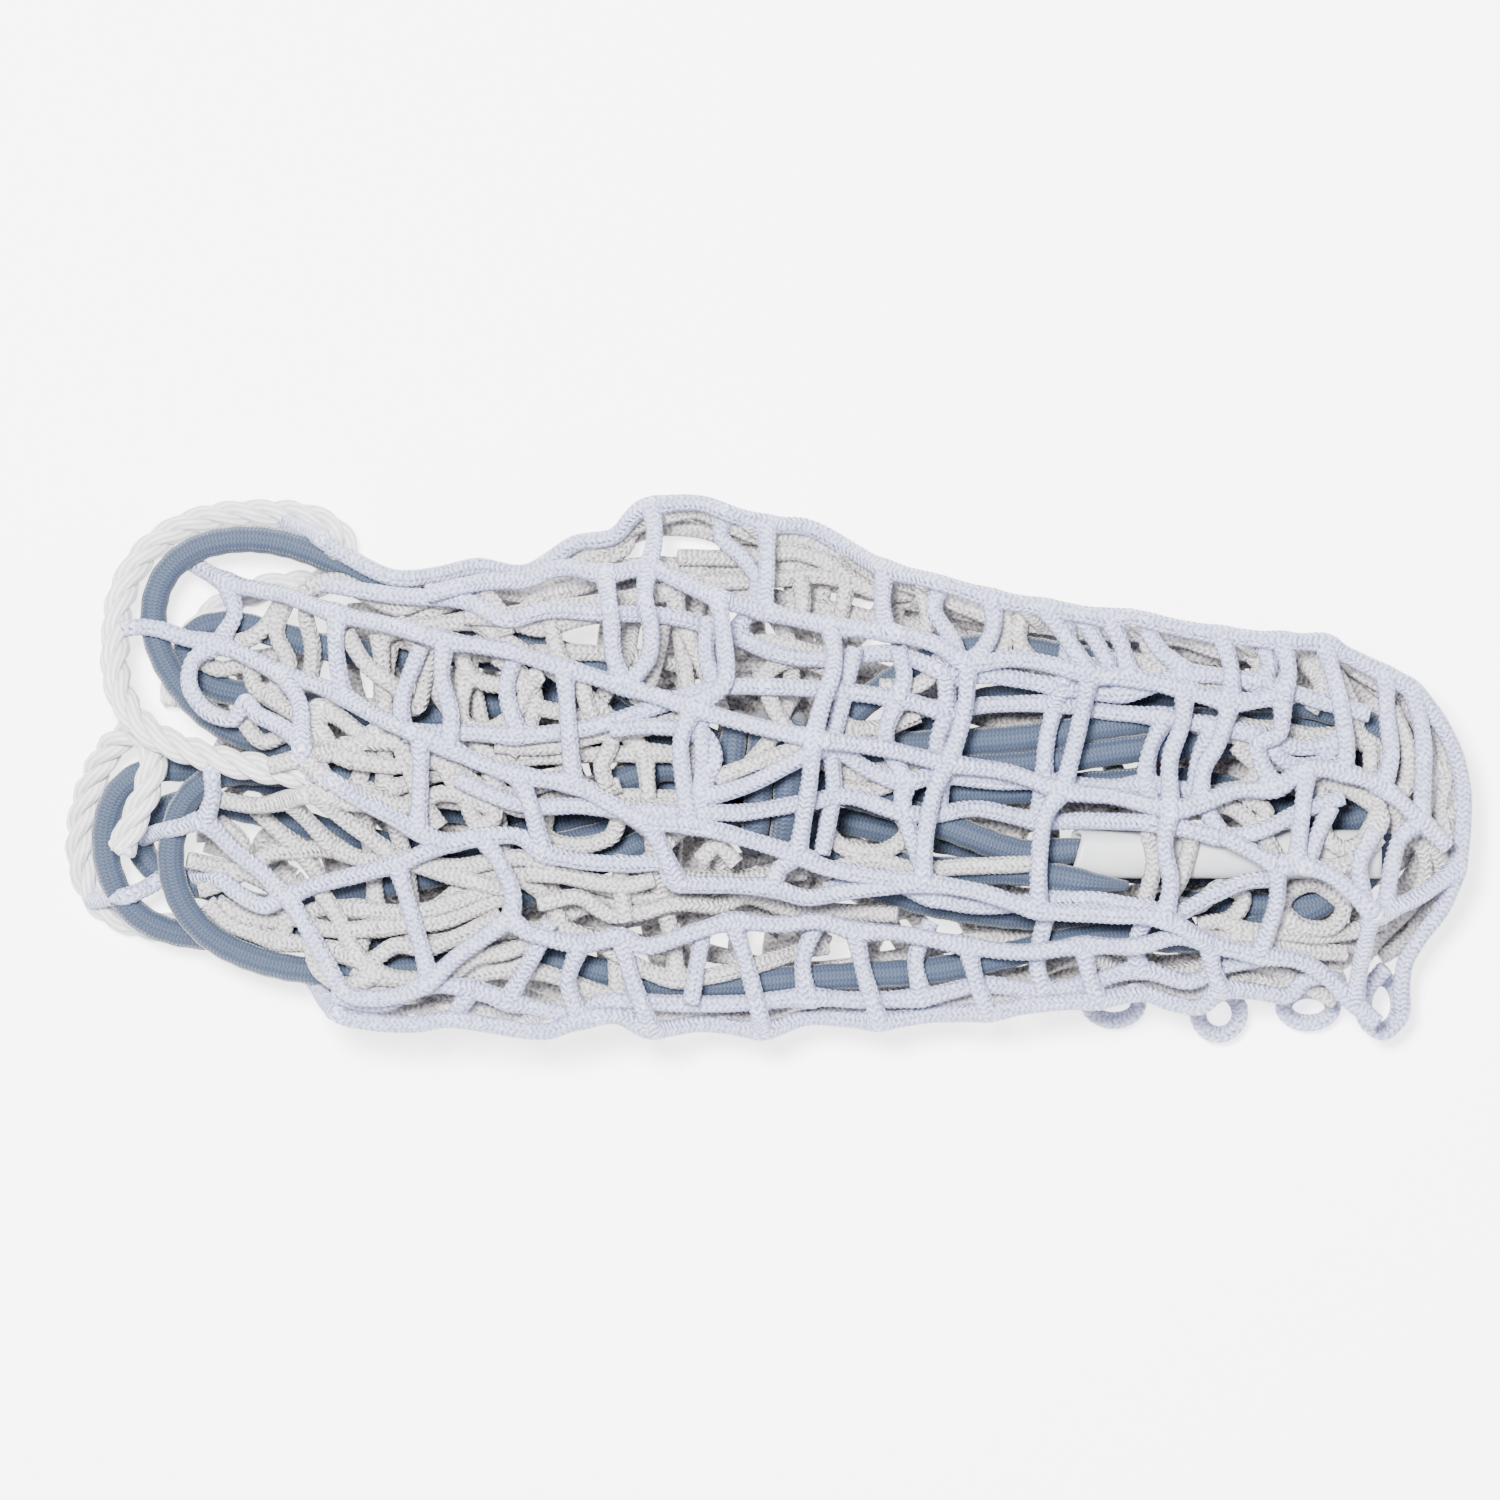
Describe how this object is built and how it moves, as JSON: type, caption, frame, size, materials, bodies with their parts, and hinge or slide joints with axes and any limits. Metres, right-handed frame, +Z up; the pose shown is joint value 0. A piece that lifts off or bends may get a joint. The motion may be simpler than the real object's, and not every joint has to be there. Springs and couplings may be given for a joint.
{
  "type": "folded sports net with elastic cord",
  "caption": "Folded bundle of white knotless sports netting with an elastic cord hank inside, roped edges and a joining sleeve.",
  "frame": {"origin": "middle of the bundle's footprint, on the surface that it lies on", "axes": "+X along the bundle towards the net's folded end, away from the roped ends; +Y across the bundle; +Z up"},
  "size_m": [0.4669, 0.1804, 0.07],
  "materials": {
    "netting": "knitted white filament cord with a faint sheen",
    "elastic_sheath": "tightly woven blue-grey sheath with fine cross ribs",
    "sleeve_plastic": "smooth off-white plastic, satin",
    "border_rope": "laid three-strand white rope, glossy filaments"
  },
  "bodies": {
    "root": {"net_under_layers": "netting", "net_over_layers": "netting", "net_left_flap": "netting", "net_rear_fold": "netting", "net_front_fold": "netting", "net_end_fold": "netting", "edge_loops": "netting", "elastic_hank": "elastic_sheath", "joining_sleeve": "sleeve_plastic", "border_rope_rear": "border_rope", "border_rope_front": "border_rope"}
  },
  "joints": []
}
